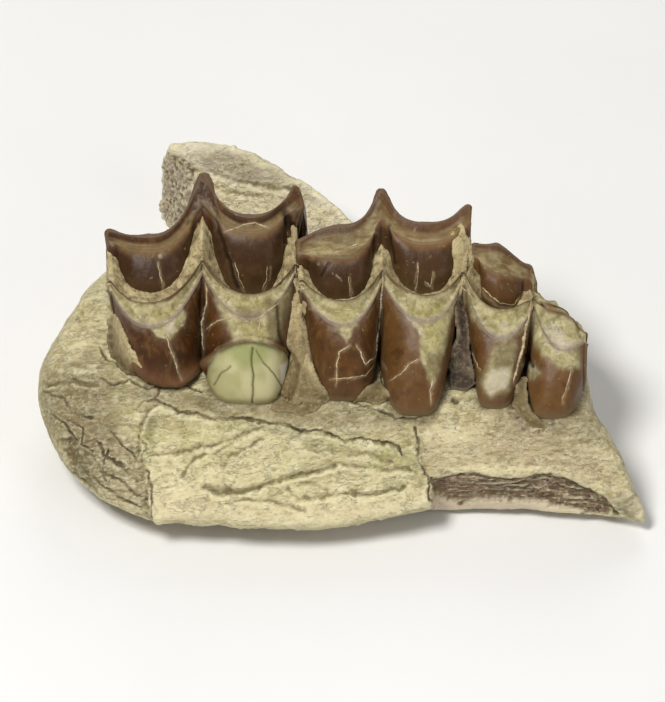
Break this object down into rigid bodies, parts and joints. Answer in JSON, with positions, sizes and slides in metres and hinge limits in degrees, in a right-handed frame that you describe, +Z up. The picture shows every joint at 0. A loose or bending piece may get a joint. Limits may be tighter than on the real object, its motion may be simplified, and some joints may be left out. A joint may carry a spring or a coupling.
{
  "type": "fossil oreodont jaw",
  "caption": "Broken piece of a fossil upper jaw lying teeth up: bone plate with an arch root, a row of ridged molars and rock left in the pits between them.",
  "frame": {"origin": "middle of the bounding box's footprint, on the surface that the jaw rests on", "axes": "+X along the tooth row from the back of the mouth to the front, +Y from the palate to the cheek, +Z up along the tooth crowns"},
  "size_m": [0.0668, 0.0506, 0.026],
  "materials": {
    "bone": "weathered fossil bone, dull, pale green-tan",
    "enamel": "brown fossil enamel, satin gloss",
    "rock": "tan siltstone, rough"
  },
  "bodies": {
    "root": {"maxilla": "bone", "molar_3": "enamel", "molar_2": "enamel", "molar_1": "enamel", "rock_in_molar_3": "rock", "rock_in_molar_2": "rock", "rock_in_molar_1": "rock", "rock_between_molars_3_2": "rock", "rock_between_molars_2_1": "rock"}
  },
  "joints": []
}
